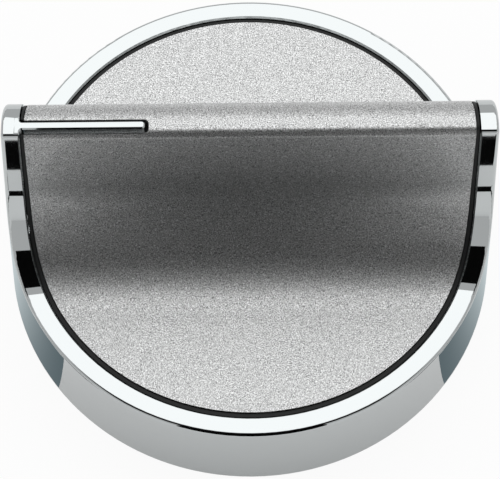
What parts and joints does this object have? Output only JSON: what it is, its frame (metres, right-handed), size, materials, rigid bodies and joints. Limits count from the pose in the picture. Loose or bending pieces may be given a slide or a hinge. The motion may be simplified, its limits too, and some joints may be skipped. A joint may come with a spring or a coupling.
{
  "type": "stove knob",
  "caption": "Round push-on stove control knob with an upright grip blade, satin silver face in a bright plated bezel, pointer bar on the crest, and a D-stem socket in its hollow back.",
  "frame": {"origin": "centre of the rear rim, on the axis of the valve stem", "axes": "+Z along the stem axis, out of the knob's face; the grip blade runs along X with the pointer at its -X end; the concave side of the blade faces -Y"},
  "size_m": [0.057, 0.057, 0.0329],
  "materials": {
    "bright_plating": "mirror bright plating on a moulding",
    "satin_silver": "satin silver with a fine sparkle",
    "black_moulding": "matt moulded",
    "spring_steel": "bright spring strip"
  },
  "bodies": {
    "root": {"bezel": "bright_plating", "face_insert": "satin_silver", "core": "black_moulding", "stem_clip": "spring_steel"}
  },
  "joints": []
}
